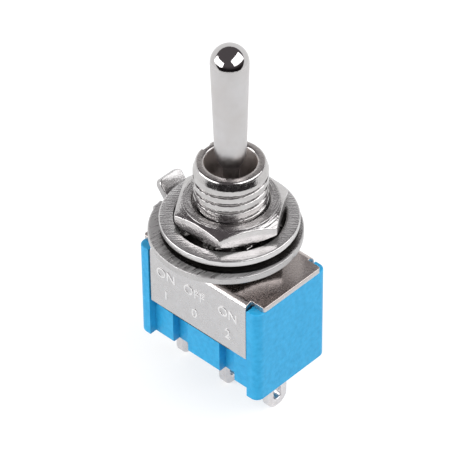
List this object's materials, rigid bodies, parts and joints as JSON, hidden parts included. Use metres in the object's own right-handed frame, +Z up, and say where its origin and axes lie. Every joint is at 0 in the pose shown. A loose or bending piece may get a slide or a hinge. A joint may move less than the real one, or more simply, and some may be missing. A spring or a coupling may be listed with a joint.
{
  "type": "panel toggle switch",
  "caption": "Miniature panel toggle switch: round-tipped lever, threaded bushing with hex nuts and washers, folded steel frame, moulded case and solder lugs.",
  "frame": {"origin": "bushing axis on the top face of the steel frame", "axes": "+Z up along the bushing and the centred lever; X along the case's long side, with the keyway and the washer's tab on -X; the lever tilts towards +X and -X"},
  "size_m": [0.0133, 0.012, 0.0334],
  "materials": {
    "blue_moulding": "moulded, faint gloss",
    "frame_steel": "bright tinned sheet",
    "bright_nickel": "polished nickel plate",
    "washer_steel": "nickel plate over a fine grained sheet",
    "lever_nickel": "satin nickel plate, polished tip",
    "inner_steel": "plain drawn steel",
    "white_nylon": "moulded nylon",
    "silvered_brass": "silver-plated brass",
    "silver_contact": "silver contact",
    "tinned_lug": "tinned brass"
  },
  "bodies": {
    "housing": {"case": "blue_moulding", "frame": "frame_steel", "bushing": "bright_nickel", "upper_nut": "bright_nickel", "lower_nut": "bright_nickel", "lock_washer": "washer_steel", "tab_washer": "washer_steel", "saddle": "silvered_brass", "contact_left": "silver_contact", "contact_right": "silver_contact", "terminal_left": "tinned_lug", "terminal_center": "tinned_lug", "terminal_right": "tinned_lug"},
    "lever": {"lever": "lever_nickel", "pivot_pin": "inner_steel", "lever_spring": "inner_steel"},
    "plunger": {"plunger": "white_nylon"},
    "rocker": {"rocker": "silvered_brass", "rocker_contact_left": "silver_contact", "rocker_contact_right": "silver_contact"}
  },
  "joints": [
    {"name": "lever_tilt", "type": "hinge", "parent": "housing", "child": "lever", "pos_m": [0, 0, 0.00455], "axis": [0, 1, 0], "range_deg": [-12, 12]},
    {"name": "plunger_slide", "type": "slide", "parent": "lever", "child": "plunger", "axis": [0, 0, 1], "range_m": [0, 0.0005], "stiffness_N_per_m": 200, "springref_m": -0.002, "deforming": ["lever_spring"]},
    {"name": "rocker_tilt", "type": "hinge", "parent": "housing", "child": "rocker", "pos_m": [0, 0, -0.0054], "axis": [0, 1, 0], "range_deg": [-7.2, 7.2]}
  ],
  "couplings": [
    {"joint": "rocker_tilt", "follows": "lever_tilt", "ratio": -0.6}
  ]
}
